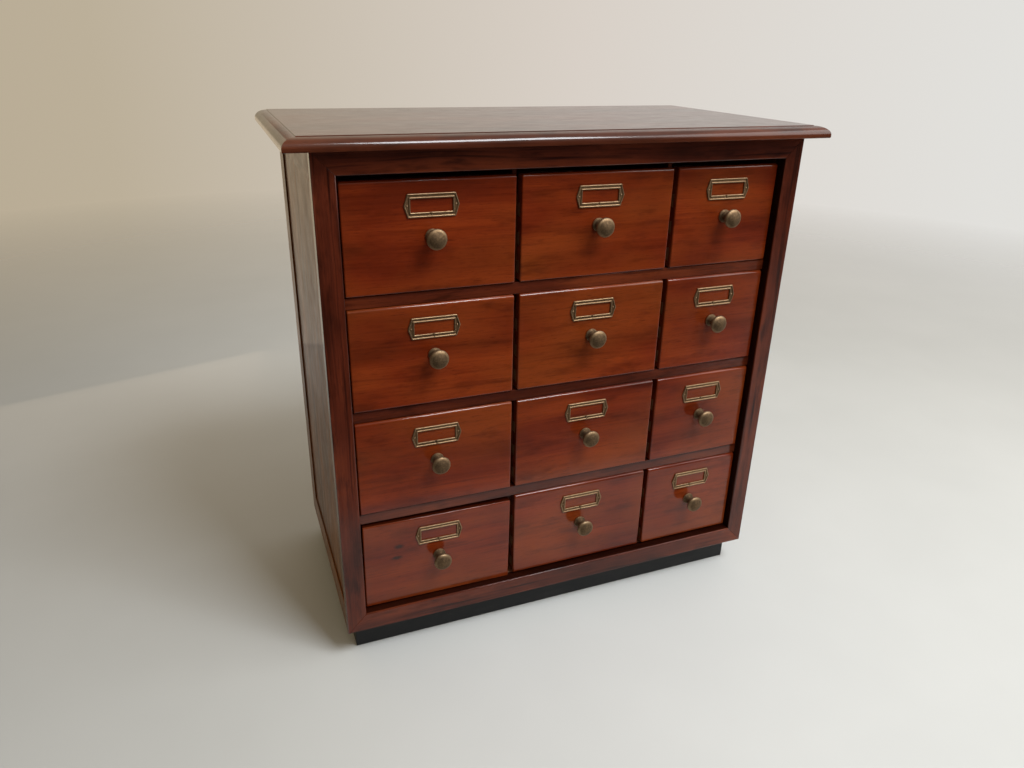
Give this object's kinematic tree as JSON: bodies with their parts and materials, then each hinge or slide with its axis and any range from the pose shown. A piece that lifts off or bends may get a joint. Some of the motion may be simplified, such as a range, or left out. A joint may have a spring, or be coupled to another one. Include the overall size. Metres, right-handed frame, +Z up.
{
  "type": "card catalog cabinet",
  "caption": "Low wooden card catalog cabinet: sliding drawers with brass knobs and label frames in a mitred face frame, under an overhanging top, on a recessed plinth.",
  "frame": {"origin": "middle of the whole cabinet's footprint, on the floor", "axes": "+Z up, -Y out of the drawer fronts, +X to the viewer's right"},
  "size_m": [0.69, 0.3574, 0.6983],
  "materials": {
    "case_wood": "glossy varnish on dark mahogany",
    "frame_wood": "glossy varnish on dark mahogany",
    "front_wood": "glossy varnish on reddish mahogany",
    "grid_wood": "satin varnish on mahogany",
    "tray_wood": "plain planed beech",
    "back_plywood": "unfinished plywood",
    "plinth_paint": "black satin paint on wood",
    "knob_brass": "antique brass, lacquered",
    "label_brass": "antique brass, lacquered"
  },
  "bodies": {
    "carcass": {"plinth": "plinth_paint", "face_frame": "frame_wood", "side_left": "case_wood", "side_right": "case_wood", "bottom_board": "case_wood", "back_panel": "back_plywood", "top_board": "case_wood", "shelf_1": "grid_wood", "shelf_2": "grid_wood", "shelf_3": "grid_wood", "partition_1": "grid_wood", "partition_2": "grid_wood"},
    "drawer_1_1": {"front_1_1": "front_wood", "tray_1_1": "tray_wood", "knob_1_1": "knob_brass", "label_frame_1_1": "label_brass"},
    "drawer_1_2": {"front_1_2": "front_wood", "tray_1_2": "tray_wood", "knob_1_2": "knob_brass", "label_frame_1_2": "label_brass"},
    "drawer_1_3": {"front_1_3": "front_wood", "tray_1_3": "tray_wood", "knob_1_3": "knob_brass", "label_frame_1_3": "label_brass"},
    "drawer_2_1": {"front_2_1": "front_wood", "tray_2_1": "tray_wood", "knob_2_1": "knob_brass", "label_frame_2_1": "label_brass"},
    "drawer_2_2": {"front_2_2": "front_wood", "tray_2_2": "tray_wood", "knob_2_2": "knob_brass", "label_frame_2_2": "label_brass"},
    "drawer_2_3": {"front_2_3": "front_wood", "tray_2_3": "tray_wood", "knob_2_3": "knob_brass", "label_frame_2_3": "label_brass"},
    "drawer_3_1": {"front_3_1": "front_wood", "tray_3_1": "tray_wood", "knob_3_1": "knob_brass", "label_frame_3_1": "label_brass"},
    "drawer_3_2": {"front_3_2": "front_wood", "tray_3_2": "tray_wood", "knob_3_2": "knob_brass", "label_frame_3_2": "label_brass"},
    "drawer_3_3": {"front_3_3": "front_wood", "tray_3_3": "tray_wood", "knob_3_3": "knob_brass", "label_frame_3_3": "label_brass"},
    "drawer_4_1": {"front_4_1": "front_wood", "tray_4_1": "tray_wood", "knob_4_1": "knob_brass", "label_frame_4_1": "label_brass"},
    "drawer_4_2": {"front_4_2": "front_wood", "tray_4_2": "tray_wood", "knob_4_2": "knob_brass", "label_frame_4_2": "label_brass"},
    "drawer_4_3": {"front_4_3": "front_wood", "tray_4_3": "tray_wood", "knob_4_3": "knob_brass", "label_frame_4_3": "label_brass"}
  },
  "joints": [
    {"name": "slide_1_1", "type": "slide", "parent": "carcass", "child": "drawer_1_1", "axis": [0, -1, 0], "range_m": [0, 0.23]},
    {"name": "slide_1_2", "type": "slide", "parent": "carcass", "child": "drawer_1_2", "axis": [0, -1, 0], "range_m": [0, 0.23]},
    {"name": "slide_1_3", "type": "slide", "parent": "carcass", "child": "drawer_1_3", "axis": [0, -1, 0], "range_m": [0, 0.23]},
    {"name": "slide_2_1", "type": "slide", "parent": "carcass", "child": "drawer_2_1", "axis": [0, -1, 0], "range_m": [0, 0.23]},
    {"name": "slide_2_2", "type": "slide", "parent": "carcass", "child": "drawer_2_2", "axis": [0, -1, 0], "range_m": [0, 0.23]},
    {"name": "slide_2_3", "type": "slide", "parent": "carcass", "child": "drawer_2_3", "axis": [0, -1, 0], "range_m": [0, 0.23]},
    {"name": "slide_3_1", "type": "slide", "parent": "carcass", "child": "drawer_3_1", "axis": [0, -1, 0], "range_m": [0, 0.23]},
    {"name": "slide_3_2", "type": "slide", "parent": "carcass", "child": "drawer_3_2", "axis": [0, -1, 0], "range_m": [0, 0.23]},
    {"name": "slide_3_3", "type": "slide", "parent": "carcass", "child": "drawer_3_3", "axis": [0, -1, 0], "range_m": [0, 0.23]},
    {"name": "slide_4_1", "type": "slide", "parent": "carcass", "child": "drawer_4_1", "axis": [0, -1, 0], "range_m": [0, 0.23]},
    {"name": "slide_4_2", "type": "slide", "parent": "carcass", "child": "drawer_4_2", "axis": [0, -1, 0], "range_m": [0, 0.23]},
    {"name": "slide_4_3", "type": "slide", "parent": "carcass", "child": "drawer_4_3", "axis": [0, -1, 0], "range_m": [0, 0.23]}
  ]
}
